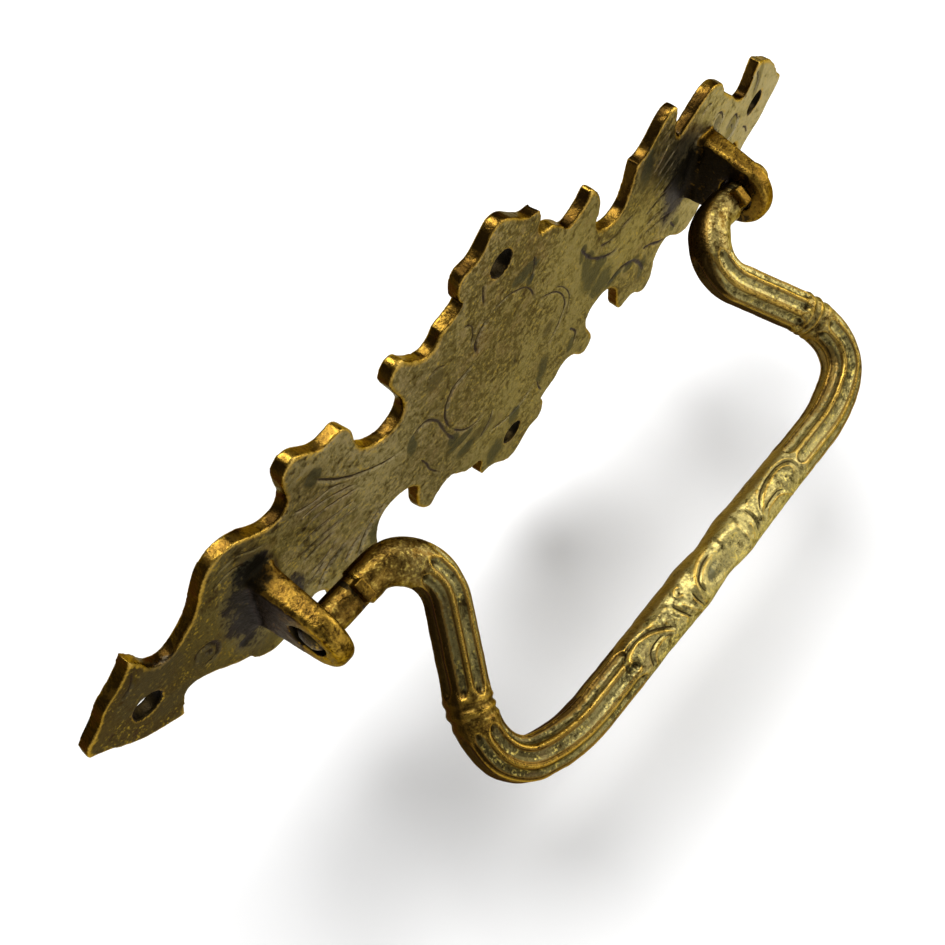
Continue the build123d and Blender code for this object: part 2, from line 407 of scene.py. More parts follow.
plate = {
    "weld": 0.01,  # joins the solid's facets
    "grid": 0.32,  # cell of the casting's mesh
    "softRounds": 3,  # evening out of its edges
    "backFacing": 0.97,  # what counts as back, and the share of its faces kept
    "backShare": 0.10,
    "bow": 1.44,  # how far the face bows forward between its ends
    "halfLength": 75.8,
    "faceDepth": 3.24,  # how far the middle of the face stands out
    "holes": ((-67.0, 0.0), (67.0, 0.0), (-3.1, 23.1), (3.1, -23.1)),
    "earFace": 46.0,  # inner faces of the ears
    # cast unevenness of the edge walls and of the face: height, size and seed of each wave
    "wallWaves": ((0.10, 2.4, 3), (0.02, 0.8, 4)),
    "faceWaves": ((0.035, 4.5, 5), (0.010, 1.1, 6)),
    "sunk": 0.06,  # keeps the waves inside the solid
    "splitReach": (0.35, 0.7),  # finer faces this far from a line, plus this share of its width
    "dimpleDepth": 0.16,
    "patchRise": 2.6,  # how far a patch climbs up an ear
    "patchEdge": 1.45,  # how far out a patch fades, in half sizes
    "holeShade": (2.75, 2.35),  # radii between which the painted shade in a screw hole sets in
    "boreSoot": (3.0, 2.7),  # and in the pin holes
    "sidePatinaShade": (11.0, 14.0),  # how far up the left and the right ear's black side, patina with painted shade, reaches
    "darkPlaces": (4.5, 9, 1.15),  # size, seed and strength of the dark places on the walls
    # how pale the face's film is along its length: painted sheen towards the far end and painted
    # shade at the near end, over the film's own tone
    "toneSheenAndShade": ((-76, -58, -44, -30, -5, 36, 76), (-1.4, -0.9, 0.2, 0.35, 0.1, 0.1, 0.9)),
    "finish": {
        "film": (0.255, 0.205, 0.085, 1),
        "filmDark": (0.105, 0.080, 0.030, 1),
        # pale film, which also paints the sheen towards the far end
        "paleFilmAndSheen": (0.46, 0.39, 0.23, 1),
        "glint": (0.44, 0.30, 0.05, 1),  # metal that shows through the film
        "filmCover": 1.0,
        "goldCover": 0.10,
        "edge": 1.0,  # how much the high places are rubbed
        "cutCover": 0.85,
    },
    # carved lines on the face: width, depth, and the points that they pass through
    "lines": (
        # cartouche in the middle
        (0.80, 0.34, ((-7.0, 8.6), (-7.5, 11.0), (-6.6, 13.1), (-4.7, 14.6))),
        (0.45, 0.18, ((-5.4, 14.3), (-2.0, 15.2), (0.8, 14.3), (3.2, 12.6), (4.7, 10.2),
            (5.2, 7.4))),
        (0.65, 0.28, ((-7.2, 7.5), (-9.9, 6.5), (-12.0, 5.9), (-13.3, 3.4), (-13.5, 0.8),
            (-12.9, -2.0), (-11.6, -4.8))),
        (0.50, 0.20, ((-12.0, -4.2), (-9.5, -7.3), (-7.0, -8.5), (-4.6, -7.7))),
        (0.45, 0.18, ((5.3, 7.5), (8.1, 6.4), (10.6, 4.8), (12.6, 2.3), (13.7, -0.7), (13.0, -3.6),
            (11.8, -5.7), (9.4, -8.1))),
        (0.35, 0.12, ((9.8, 6.6), (12.6, 4.0), (14.5, 0.6), (14.6, -2.6), (13.2, -5.8))),
        (0.55, 0.22, ((-3.4, -15.2), (0.5, -16.5), (3.8, -16.8), (6.4, -15.7), (8.0, -14.0))),
        (0.45, 0.20, ((-6.4, 22.2), (-6.4, 20.0), (-6.0, 17.6))),
        (0.40, 0.16, ((4.2, 18.4), (4.4, 15.6), (3.6, 12.9))),
        (0.45, 0.18, ((8.7, -14.9), (9.3, -17.2), (10.3, -19.3))),
        (0.40, 0.16, ((-10.4, 17.3), (-8.6, 16.0), (-8.2, 13.6), (-8.8, 11.6))),
        (0.40, 0.16, ((-17.6, 13.4), (-15.4, 14.0), (-13.2, 12.6))),
        (0.35, 0.14, ((-2.6, -9.6), (-3.6, -12.2), (-5.9, -14.4))),
        # bands beside the cartouche
        (0.70, 0.22, ((-21.6, 3.2), (-17.8, 4.4), (-15.3, 1.8), (-14.1, -1.3), (-12.8, -4.8),
            (-10.6, -9.0))),
        (0.60, 0.20, ((-18.9, -3.6), (-17.6, -6.4), (-16.6, -9.4), (-14.6, -12.6))),
        (0.70, 0.28, ((15.6, 9.8), (17.3, 7.0), (20.2, 3.3), (24.6, 0.3), (28.6, -0.6))),
        (0.55, 0.20, ((20.8, 5.2), (24.6, 3.8), (28.2, 4.6), (30.9, 4.7))),
        (1.00, 0.34, ((25.0, -8.1), (29.5, -7.4), (33.7, -9.3), (36.6, -12.8), (38.6, -16.6))),
        (0.60, 0.24, ((16.0, -9.0), (18.2, -12.0), (18.0, -15.4))),
        # left fan
        (0.55, 0.26, ((-37.8, 15.6), (-34.3, 11.0), (-30.2, 7.2), (-25.4, 4.1), (-21.4, 3.0))),
        (0.40, 0.20, ((-41.8, 12.2), (-38.6, 10.6), (-34.8, 9.8), (-32.0, 7.6))),
        (0.40, 0.20, ((-41.0, 9.4), (-37.4, 9.0), (-33.4, 7.2), (-30.4, 5.2))),
        (0.42, 0.22, ((-41.6, 6.6), (-37.6, 6.9), (-33.6, 5.6), (-30.0, 4.0))),
        (0.42, 0.22, ((-41.8, 3.6), (-38.2, 3.9), (-34.6, 3.0), (-31.0, 2.1))),
        (0.42, 0.22, ((-42.0, 1.2), (-38.4, 1.4), (-34.4, 0.8), (-30.2, -0.1))),
        (0.42, 0.22, ((-41.6, -0.6), (-38.5, -0.3), (-35.4, -0.5))),
        (0.42, 0.22, ((-40.8, -5.2), (-37.6, -4.6), (-35.2, -2.8))),
        (0.90, 0.50, ((-40.0, -11.2), (-37.4, -7.7), (-33.5, -6.0))),
        (0.80, 0.45, ((-34.6, -11.2), (-33.1, -9.0), (-31.2, -7.8))),
        (0.90, 0.50, ((-32.2, -13.4), (-30.6, -9.4), (-28.8, -7.3), (-25.6, -5.8))),
        (0.60, 0.28, ((-42.0, -7.4), (-39.6, -6.6), (-37.8, -5.6))),
        (0.35, 0.14, ((-53.4, 14.0), (-50.2, 14.1), (-47.6, 12.2), (-45.4, 11.0))),
        (0.35, 0.14, ((-54.4, 11.2), (-51.4, 12.2), (-48.6, 10.8))),
        # right fan
        (0.60, 0.30, ((34.2, 0.6), (37.0, 1.2), (39.8, 1.4))),
        (0.70, 0.36, ((35.0, -2.2), (38.0, -2.2), (41.4, -2.4))),
        (0.75, 0.38, ((35.2, -4.4), (39.5, -5.1), (43.9, -6.6))),
        (0.75, 0.36, ((35.6, -8.2), (39.0, -10.0), (42.0, -11.9), (45.0, -13.1))),
        (0.60, 0.30, ((44.0, -8.9), (45.3, -10.6), (46.8, -12.6))),
        (0.50, 0.30, ((35.0, 5.2), (37.8, 6.6), (40.6, 8.0))),
        (0.50, 0.30, ((36.0, 3.0), (39.4, 4.9), (42.2, 6.2))),
        (0.50, 0.30, ((37.4, 1.8), (40.5, 3.1), (43.6, 4.4))),
        (0.50, 0.28, ((35.2, 8.0), (37.6, 9.4), (39.6, 10.6))),
        (0.45, 0.24, ((33.6, 9.6), (35.6, 11.6), (37.0, 14.0))),
        # eyes and curls at the ends
        (0.70, 0.30, ((-59.6, -1.2), (-58.9, 0.9), (-57.2, 1.0), (-56.1, -0.6), (-56.6, -2.6),
            (-58.2, -2.9), (-59.3, -1.9))),
        (0.55, 0.24, ((-58.2, -0.4), (-57.3, -0.6), (-57.4, -1.6))),
        (0.60, 0.30, ((57.2, 0.6), (58.2, 2.4), (60.0, 2.4), (61.3, 0.6), (60.8, -1.6),
            (59.2, -2.2), (57.6, -1.2))),
        (0.50, 0.24, ((58.6, 0.8), (59.6, 0.6), (59.8, -0.6))),
        (0.50, 0.26, ((50.6, 7.4), (51.8, 8.2), (53.6, 7.4), (54.6, 5.6), (53.8, 4.4))),
        (0.50, 0.22, ((46.2, 12.0), (47.6, 12.9), (49.2, 12.2))),
        (0.55, 0.26, ((64.4, -3.4), (66.2, -4.8), (67.5, -7.0))),
        (0.50, 0.22, ((64.0, 8.6), (65.2, 6.0), (64.8, 3.2))),
        (0.50, 0.20, ((-66.4, 10.2), (-67.3, 7.6), (-69.6, 5.8))),
    ),
    # shallow dimples: place and radius
    "dimples": ((-74.4, 0.3, 0.55), (-72.1, 0.5, 0.6), (-54.7, 2.3, 0.55), (1.9, -2.4, 0.45),
                (-52.6, -6.6, 0.8), (62.9, -6.4, 0.8), (-9.0, 16.8, 0.5)),
    # patches of patina, the black ones beside the ears also holding painted shade: place on the
    # face, half width, half height
    "black": ((-50.9, 0.6, 3.2, 9.2), (-49.4, 8.4, 3.0, 2.4), (43.4, 0.4, 3.8, 7.6),
              (52.3, 0.0, 2.0, 6.0), (-52.7, -6.6, 1.5, 1.3), (-43.6, -6.0, 1.8, 4.0)),
    "blue": ((-49.3, 9.4, 2.6, 1.8), (-37.5, 15.5, 1.3, 1.5), (-28.4, -11.6, 1.4, 3.4),
             (-20.4, 1.8, 0.9, 2.4), (-12.0, -7.3, 1.2, 1.5), (-8.7, -13.2, 2.2, 1.4),
             (2.4, 16.4, 2.6, 1.3), (3.6, 13.6, 0.9, 1.3), (-1.4, -23.0, 1.9, 3.2),
             (3.1, -18.0, 1.2, 2.0), (9.6, -12.6, 1.4, 2.9), (17.2, -14.0, 1.0, 1.7),
             (20.6, -0.6, 3.2, 3.4), (18.4, 3.6, 1.4, 2.6), (16.6, 7.4, 0.8, 1.8),
             (23.8, -4.6, 2.6, 3.2), (31.6, 12.4, 1.5, 4.0), (27.4, -7.8, 2.6, 0.8),
             (33.0, -8.9, 2.2, 0.9), (36.8, -13.6, 1.0, 2.6), (-11.0, -9.2, 3.0, 1.0),
             (45.6, -10.6, 1.6, 1.6)),
    "grey": ((-65.6, 4.0, 4.4, 3.6), (-15.7, 12.0, 1.9, 1.7), (65.2, 5.8, 1.0, 3.0),
             (9.9, -3.2, 1.2, 1.7), (40.0, 8.0, 5.0, 4.2), (-5.6, -12.4, 3.0, 1.6),
             (1.8, -2.3, 0.5, 1.6), (52.6, 6.0, 1.6, 1.4), (59.3, 0.2, 1.8, 2.2),
             (-57.8, -0.9, 2.2, 2.2), (-64.0, -4.0, 3.0, 2.0), (-50.0, -12.0, 3.0, 2.0)),
}


def faceHeight(x):
    # y of the bowed face
    radius = (plate["halfLength"] ** 2 + plate["bow"] ** 2) / (2 * plate["bow"])
    return -plate["faceDepth"] + radius - np.sqrt(radius ** 2 - x ** 2)


def castPlate():
    # the casting's own mesh, made even and soft at its edges
    source = frame["nodes"]["backplate"]
    thing = newObject("carvedBackplate", source.data.copy())
    weld = thing.modifiers.new("weld", "WELD")
    weld.merge_threshold = plate["weld"] * mm
    grid = thing.modifiers.new("grid", "REMESH")
    grid.mode = "VOXEL"
    grid.voxel_size = plate["grid"] * mm
    grid.use_smooth_shade = True
    done = bakeMesh(thing)
    thing.modifiers.clear()
    thing.data = done
    done.name = "carvedBackplate"
    done.materials.clear()
    points, edges = getPoints(done), getEdges(done)
    setPoints(done, spread(points, edges, len(points), plate["softRounds"]))
    return thing


def splitNear(thing, lines):
    # finer faces where the face is carved
    mesh = thing.data
    points = getPoints(mesh)
    flat = points[:, [0, 2]]
    wanted = np.zeros(len(points), bool)
    reach, widthShare = plate["splitReach"]
    for near, width, _, distance, _, _ in lineDistances(flat, lines):
        wanted[near] |= distance < reach + width * widthShare
    wanted &= getNormals(mesh)[:, 1] < -0.7
    work = bmesh.new()
    work.from_mesh(mesh)
    edges = [e for e in work.edges if wanted[e.verts[0].index] and wanted[e.verts[1].index]]
    bmesh.ops.subdivide_edges(work, edges=edges, cuts=1, use_grid_fill=True)
    bmesh.ops.triangulate(work, faces=[f for f in work.faces if len(f.verts) > 4])
    work.to_mesh(mesh)
    work.free()


def carvePlate(thing):
    mesh = thing.data
    points, normals = getPoints(mesh), getNormals(mesh)
    x, y, z = points.T
    front = smooth(-0.5, -0.9, normals[:, 1]) * smooth(-1.2, -0.6, y - faceHeight(x))
    flat = points[:, [0, 2]]
    height, mark = carveLines(flat, plate["lines"])
    for left, up, radius in plate["dimples"]:
        away = np.hypot(x - left, z - up) / radius
        height -= plate["dimpleDepth"] * np.exp(-away ** 2)
        mark = np.maximum(mark, 0.45 * np.exp(-(away - 0.5) ** 2 * 3))
    # uneven walls and a faintly rippled face, as cast
    wall = smooth(0.85, 0.4, np.abs(normals[:, 1]))
    wall *= smooth(2.2, 1.0, faceHeight(x) - y)
    ripple = wall * castRipple(points, plate["wallWaves"])
    ripple += front * castRipple(points, plate["faceWaves"]) - plate["sunk"]
    setPoints(mesh, points + normals * (height * front + ripple)[:, None])
    writeAttribute(mesh, "cut", mark * front)


def tintPlate(thing):
    # where the film, the patches, the painted shade and the painted sheen lie
    mesh = thing.data
    points, normals = getPoints(mesh), getNormals(mesh)
    x, y, z = points.T
    stand = np.clip(faceHeight(x) - y, 0, None)
    ear = smooth(1.0, 2.0, stand)
    dull = smooth(0.55, 0.85, np.abs(normals[:, 1])) * (1 - ear)
    writeAttribute(mesh, "dull", dull)
    patches = {}
    for tint in ("black", "blue", "grey"):
        nearest = np.full(len(points), 9.0)
        for left, up, wideHalf, highHalf in plate[tint]:
            away = ((x - left) / wideHalf) ** 2 + ((z - up) / highHalf) ** 2
            nearest = np.minimum(nearest, np.sqrt(away + (stand / plate["patchRise"]) ** 2))
        facing = smooth(0.2, -0.2, normals[:, 1]) if tint != "black" else 1.0
        patches[tint] = np.clip(plate["patchEdge"] - nearest, 0, 1) * facing
    # black patina, with painted shade added in the screw holes and the pin bores
    patinaAndShade = patches["black"]
    sideways = smooth(0.92, 0.7, np.abs(normals[:, 1]))
    for left, up in plate["holes"]:
        inside = smooth(*plate["holeShade"], np.hypot(x - left, z - up)) * sideways
        patinaAndShade = np.maximum(patinaAndShade, inside)
    bore = np.hypot(y - pinPoint[1], z - pinPoint[2])
    patinaAndShade = np.maximum(patinaAndShade, smooth(*plate["boreSoot"], bore) * (stand > 2))
    # the flat sides of the ears are brown-black, patina with painted shade, most of all near their
    # feet
    side = smooth(0.75, 0.95, np.abs(normals[:, 0])) * ear
    reach = np.where(x > 0, plate["sidePatinaShade"][1], plate["sidePatinaShade"][0])
    patches["black"] = np.maximum(patinaAndShade, side * np.clip((reach - stand) / 7.0, 0, 1) * 0.9)
    for tint, value in patches.items():
        writeAttribute(mesh, tint + "Patch", value)
    # painted shade on the walls where they face left, and dark places on them elsewhere
    wall = smooth(0.75, 0.4, np.abs(normals[:, 1])) * (1 - ear)
    size, seed, strength = plate["darkPlaces"]
    darkPlaces = smooth(-0.2, 0.6, lumps(points, size, seed)) * strength
    darkPlaces = np.maximum(smooth(0.2, 0.8, -normals[:, 0]) * 1.1, darkPlaces)
    writeAttribute(mesh, "shade", wall * darkPlaces)
    # painted sheen and painted shade along the face, over the film's own tone
    writeAttribute(mesh, "toneSheenAndShade", np.interp(x, *plate["toneSheenAndShade"]))


def thinBack(thing):
    # fewer faces on the plain back, which no carving needs
    mesh = thing.data
    group = thing.vertex_groups.new(name="back")
    back = np.nonzero(getNormals(mesh)[:, 1] > plate["backFacing"])[0]
    group.add([int(n) for n in back], 1.0, "REPLACE")
    share = len(back) / len(mesh.vertices)
    thin = thing.modifiers.new("thin", "DECIMATE")
    thin.ratio = 1 - share * (1 - plate["backShare"])
    thin.vertex_group = "back"
    thin.vertex_group_factor = 1000.0
    done = bakeMesh(thing)
    thing.modifiers.clear()
    thing.vertex_groups.clear()
    thing.data = done
    done.name = "carvedBackplate"


# Bail

bail = {
    "rod": 3.25,  # radius of the fluted rod
    "swell": 0.10,  # how much thicker it is on the grip
    "swellEnds": (18, 8),  # places along the grip between which that sets in
    "shoulder": (0.14, 5.6, 2.0),  # height, place and width of the swelling beside the middle
    "waist": (0.30, 2.6),  # depth and width of the hollow in the middle
    "pin": 2.4,  # radius of the pins
    "pinLength": 11.7,
    "dome": 1.5,  # length of a pin's rounded tip
    "neck": 6.3,  # from an ear's inner face to the start of the bend
    "sleeve": 2.75,  # radius of the round part beside the pin
    "sleeveReach": 2.3,  # how far the sleeve runs on past the bend, up to the tab
    "taperTurn": 45.0,  # degrees of the bend over which the rod thins to the sleeve
    "drop": 35.3,  # from the pins down to the grip
    "bend": 6.4,  # radii of the bend at the pin, the knee in the leg,
    "knee": 13.2,  # the corner, and its blend into the grip
    "corner": 6.3,
    "blend": 24.5,
    "slope": 31.9,  # degrees that the leg leans outwards
    "turn": 65.2,  # degrees that the corner turns
    "swing": 33.0,  # degrees that the photographed bail hangs below level
    "shift": 1.7,  # how far it is slid towards the right ear
    "gripPlain": 20.6,  # half length of the grip without flutes
    "collar": 3.6,  # length of the collar
    # rings of the collar: place along it, width, and height as a share of ringHeight
    "rings": ((0.3, 0.35, 0.6), (1.9, 0.30, 1.0), (1.1, 0.30, -0.8), (2.7, 0.30, -0.8),
              (3.4, 0.35, 0.8)),
    "ringHeight": 0.16,
    "flutes": 8,
    "fluteDepth": 0.60,
    "fluteTurn": 64.0,  # how far round the bend the flutes stop, in degrees from the pin
    "fluteGap": 0.2,  # from the collar to the flutes beside it
    "land": 0.04,  # flat top of a ridge, as a share of half a flute
    "flutePower": 0.75,  # below 1 for a flute with a flatter floor
    "fluteFade": 0.6,  # how gently a flute starts at its end
    "tipLength": 1.8,  # length of a flute's rounded end
    "sides": 96,  # faces round the rod
    "spacing": 0.26,  # and length of a face, then the same on the grip
    "gripSpacing": 0.15,
    "tabGap": 1.9,  # from the start of the bend to the tab
    "tab": (1.6, 3.0, 3.85),  # along the pin, across it, and up from its middle
    "tabEdge": 0.32,
    # the tab's film, its edges, and a pale tone that paints a sheen on it
    "tabMarks": (("dull", 0.75), ("fineRelief", 0.03), ("toneSheenAndShade", 0.6)),
    "castWaves": ((0.035, 2.6, 11), (0.014, 0.9, 12)),
    "sunk": 0.03,  # keeps the waves inside the solid
    "shadeInEar": (-47.2, -47.9),  # where the pin gets painted shade inside the left ear, along the bail
    "awayFromLight": (-0.63, 0.77, -0.10),  # direction of the side that gets painted shade
    # how pale the film is along the bail
    "toneSheenAndShade": ((-45, -30, -20, -10, 5, 25, 45), (-0.25, -0.1, 0.25, 0.55, 0.62, 0.5, 0.1)),
    "finish": {
        "film": (0.315, 0.262, 0.095, 1),
        "filmDark": (0.085, 0.068, 0.023, 1),
        "paleFilmAndSheen": (0.62, 0.51, 0.18, 1),
        "glint": (0.78, 0.60, 0.13, 1),
        "filmCover": 0.9,
        "goldCover": 0.12,
        "edge": 1.5,
        "cutCover": 0.6,
    },
    "reliefTilt": 20.0,  # degrees that the relief is turned out of the bail's plane
    "ridgeShare": 0.62,  # how much of its width a ridge fills
    # relief on the grip, in mm along it and up its outer face: width, height, points
    "ridges": (
        (0.55, 0.26, ((-20.4, 1.2), (-21.6, 1.0), (-21.9, 2.4), (-20.8, 3.3), (-19.0, 3.6),
            (-17.0, 3.1), (-15.3, 2.1), (-14.0, 0.9), (-13.0, -0.4))),
        (0.50, 0.22, ((-18.8, -1.6), (-18.4, 0.1), (-17.8, 0.8), (-16.7, 1.2), (-15.3, 1.1),
            (-14.1, 0.4), (-13.1, -0.8))),
        (0.90, 0.26, ((-16.6, 3.9), (-14.0, 3.7), (-11.4, 3.6))),
        (0.80, 0.24, ((-14.0, 2.9), (-12.2, 1.4), (-10.7, -0.4))),
        (0.60, 0.24, ((-12.0, 2.9), (-11.6, 1.6), (-10.4, 0.0))),
        (0.60, 0.28, ((-8.6, 3.2), (-9.3, 3.0), (-9.8, 3.6), (-9.0, 4.3), (-7.9, 4.0))),
        (0.60, 0.26, ((-10.2, 2.6), (-9.6, 1.2), (-8.4, -0.6), (-7.6, -1.8))),
        (0.60, 0.26, ((-8.4, 1.8), (-8.0, 0.6), (-7.2, -0.8))),
        (0.70, 0.34, ((-6.2, -1.4), (-6.9, 0.4), (-6.6, 2.2), (-5.4, 3.4), (-3.6, 4.2), (-1.4, 4.6),
            (0.8, 4.6))),
        (1.80, 0.40, ((1.2, 3.9), (3.4, 3.5), (5.8, 2.9))),
        (0.70, 0.26, ((4.6, -1.6), (5.2, 0.2), (5.0, 2.0))),
        (0.55, 0.24, ((7.0, 2.2), (6.6, 1.0), (5.9, -0.4))),
        (0.90, 0.24, ((8.8, 3.8), (10.6, 4.0), (12.6, 4.0))),
        (0.55, 0.26, ((8.3, -0.2), (9.6, 1.2), (11.1, 2.3), (13.0, 3.0), (15.0, 3.4), (17.4, 3.4),
            (18.7, 2.8), (18.9, 1.9), (18.2, 1.3), (17.5, 1.9))),
        (0.50, 0.22, ((9.6, -0.4), (11.0, 0.8), (12.5, 1.0), (14.0, 0.9), (15.2, 0.2), (16.3, -0.9),
            (17.5, -2.2))),
    ),
    # dark cuts beside them
    "cuts": (
        (0.42, 0.26, ((-22.6, 0.6), (-22.5, 2.6), (-21.2, 4.0), (-19.0, 4.25), (-16.8, 3.7),
            (-14.8, 2.5), (-13.4, 1.2), (-12.3, -0.2))),
        (0.38, 0.24, ((-19.3, -1.2), (-19.0, 0.6), (-18.2, 1.5), (-16.7, 1.75), (-15.1, 1.6))),
        (0.42, 0.28, ((-11.1, 3.6), (-11.0, 2.2), (-10.4, 0.6), (-9.6, -0.8))),
        (0.42, 0.24, ((-9.0, 3.5), (-8.8, 3.6))),
        (0.38, 0.22, ((-7.6, 2.4), (-7.7, 0.8), (-7.0, -1.2))),
        (0.50, 0.28, ((-5.8, 0.0), (-5.8, 2.0), (-4.6, 3.0), (-2.6, 3.7), (-0.2, 3.9))),
        (0.45, 0.26, ((8.3, 4.2), (8.2, 2.3), (7.9, 0.8), (7.3, -0.8))),
        (0.42, 0.26, ((9.0, 0.2), (10.2, 2.1), (12.0, 3.4), (14.6, 4.1), (17.6, 4.15), (19.6, 3.2),
            (19.8, 1.6), (18.8, 0.6))),
        (0.38, 0.22, ((10.4, 1.2), (12.3, 1.6), (14.4, 1.5), (15.9, 0.6))),
        (0.38, 0.22, ((17.0, 1.9), (17.5, 1.9))),
    ),
    "dish": (-1.4, 1.2, 4.2, 2.2, 0.50),  # middle, half sizes and depth of the cartouche's dish
}


def traceHalf():
    # centre line from the middle of the grip to the end of the pin, in the bail's own plane
    slope, turn = math.radians(bail["slope"]), math.radians(bail["turn"])
    bendX = plate["earFace"] - bail["neck"]
    fall = (bail["bend"] * (1 + math.sin(slope)) + bail["knee"] * math.sin(slope)
            + bail["corner"] * math.sin(turn) + bail["blend"] * (1 - math.sin(turn)))
    leg = (bail["drop"] - fall) / math.cos(slope)
    # name, then radius and angle of an arc, or the length of a straight run
    runs = [
        ("bend", bail["bend"], math.pi / 2 + slope),
        ("leg", leg, 0),
        ("knee", bail["knee"], -slope),
        ("corner", bail["corner"], -turn),
        ("blend", bail["blend"], turn - math.pi / 2),
    ]
    place = np.array([bendX, 0.0])
    heading = math.pi
    pinSteps = np.arange(bail["pinLength"], 0, -bail["spacing"])
    line = [np.array([bendX + x, 0.0]) for x in pinSteps]
    marks = {"pin": bail["pinLength"]}
    total = bail["pinLength"]
    for name, size, angle in runs:
        length = size * abs(angle) if angle else size
        count = max(2, round(length / bail["spacing"]))
        for n in range(count):
            line.append(place.copy())
            half = angle / count / 2
            chord = 2 * size * math.sin(abs(half)) if angle else length / count
            heading += half
            place = place + chord * np.array([math.cos(heading), math.sin(heading)])
            heading += half
        total += length
        marks[name] = total
    count = round(place[0] / bail["gripSpacing"])
    for n in range(count):
        line.append(np.array([place[0] * (1 - n / count), place[1]]))
    line.append(np.array([0.0, place[1]]))
    total += place[0]
    # the marks are measured from the middle of the grip
    marks = {key: total - value for key, value in marks.items()}
    marks["end"] = total
    return np.array(line)[::-1], marks


def rodRadius(u, marks):
    # radius along the half bail, from the middle of the grip outwards
    bendEnd = marks["pin"]
    taperEnd = bendEnd - bail["bend"] * math.radians(bail["taperTurn"])
    radius = np.full(len(u), bail["rod"])
    radius += bail["swell"] * smooth(*bail["swellEnds"], u)
    rise, middle, width = bail["shoulder"]
    fall, waist = bail["waist"]
    radius += rise * np.exp(-((u - middle) / width) ** 2) - fall * np.exp(-(u / waist) ** 2)
    radius += (bail["sleeve"] - bail["rod"]) * smooth(taperEnd, bendEnd, u)
    onPin = u > bendEnd + bail["sleeveReach"]
    tipAway = np.clip(marks["end"] - u, 0, None)
    dome = bail["dome"]
    rounded = np.sqrt(np.clip(1 - (np.clip(dome - tipAway, 0, dome) / dome) ** 2, 0.0004, 1))
    radius[onPin] = (bail["pin"] * rounded)[onPin]
    return radius


def fluteTree(name, stretches, rings):
    # sweeps a round section along the curve and hollows the flutes between their ends
    group = bpy.data.node_groups.new(name, "GeometryNodeTree")
    face = group.interface
    face.new_socket("Geometry", in_out="INPUT", socket_type="NodeSocketGeometry")
    for label in ("Flute Depth", "Flutes", "Land", "Tip Length", "Ring Height"):
        face.new_socket(label, in_out="INPUT", socket_type="NodeSocketFloat")
    face.new_socket("Sides", in_out="INPUT", socket_type="NodeSocketInt")
    face.new_socket("Material", in_out="INPUT", socket_type="NodeSocketMaterial")
    face.new_socket("Geometry", in_out="OUTPUT", socket_type="NodeSocketGeometry")
    s = Tree(group)
    given = s.node("NodeGroupInput").beside()
    place = s.node("GeometryNodeInputPosition")
    length = s.node("GeometryNodeSplineParameter", output="Length")
    whole = s.node("GeometryNodeSplineLength")
    line = s.capture(
        given["Geometry"], centre=place, size=s.node("GeometryNodeInputRadius"),
        far=(length - whole * 0.5).math("ABSOLUTE"))  # along the bail from its middle
    centre, far = line["centre"], line["far"]
    even = s.node("GeometryNodeSetCurveRadius", {}, {"Curve": line["Geometry"], "Radius": 1.0})
    circle = s.node("GeometryNodeCurvePrimitiveCircle", {"mode": "RADIUS"}, {
        "Resolution": given["Sides"], "Radius": 0.001})
    section = s.capture(circle, around=s.node("GeometryNodeSplineParameter", output="Factor"))
    tube = s.node("GeometryNodeCurveToMesh", {}, {
        "Curve": even, "Profile Curve": section["Geometry"], "Fill Caps": True})

    # place across one flute, from 0 in its middle to 1 on its ridges
    across = ((section["around"] * given["Flutes"]).math("FRACT") * 2.0 - 1.0).math("ABSOLUTE")
    inner = (across / (1.0 - given["Land"])).math("MINIMUM", 1.0)
    wave = (inner * math.pi).math("COSINE") + 1.0
    hollow = (wave * 0.5).math("POWER", bail["flutePower"])
    tip = across.math("POWER", 2.0) * given["Tip Length"]
    window = 0.0
    fade = bail["fluteFade"] * mm
    for low, high in stretches:
        inside = (far - low * mm - tip).step(0.0, fade)
        outside = (high * mm - far - tip).step(0.0, fade)
        window = window + inside * outside
    inFlute = window * hollow
    raised = 0.0
    for spot, width, height in rings:
        gap = (far - spot * mm) / (width * mm)
        bell = (gap.math("ABSOLUTE").math("POWER", 2.0) * -1.0).math("EXPONENT")
        raised = raised + bell * height
    reach = line["size"] - inFlute * given["Flute Depth"] + raised * given["Ring Height"]
    outward = place.vector("SUBTRACT", {1: centre}).vector("NORMALIZE")
    moved = centre.vector("ADD", {1: outward.vector("SCALE", {"Scale": reach})})
    made = s.node("GeometryNodeSetPosition", {}, {"Geometry": tube, "Position": moved})
    for label, kind, value in (("centre", "FLOAT_VECTOR", centre), ("flute", "FLOAT", inFlute)):
        made = s.node("GeometryNodeStoreNamedAttribute", {"data_type": kind, "domain": "POINT"}, {
            "Geometry": made, "Name": label, "Value": value})
    made = s.node("GeometryNodeSetShadeSmooth", {}, {"Geometry": made})
    made = s.node("GeometryNodeRealizeInstances", {}, {"Geometry": made})
    made = s.node("GeometryNodeSetMaterial", {}, {"Geometry": made, "Material": given["Material"]})
    s.node("NodeGroupOutput", {}, {0: made})
    return group


def setInputs(modifier, values):
    names = {item.name: item.identifier for item in modifier.node_group.interface.items_tree
             if item.in_out == "INPUT"}
    for name, value in values.items():
        modifier[names[name]] = value


def hangingFrame():
    # origin, and the directions along the pins, up the bail and out of its face
    swing = math.radians(bail["swing"])
    up = np.array([0, math.cos(swing), math.sin(swing)])
    out = np.array([0, -math.sin(swing), math.cos(swing)])
    return pinPoint + np.array([bail["shift"], 0, 0]), np.array([1.0, 0, 0]), up, out


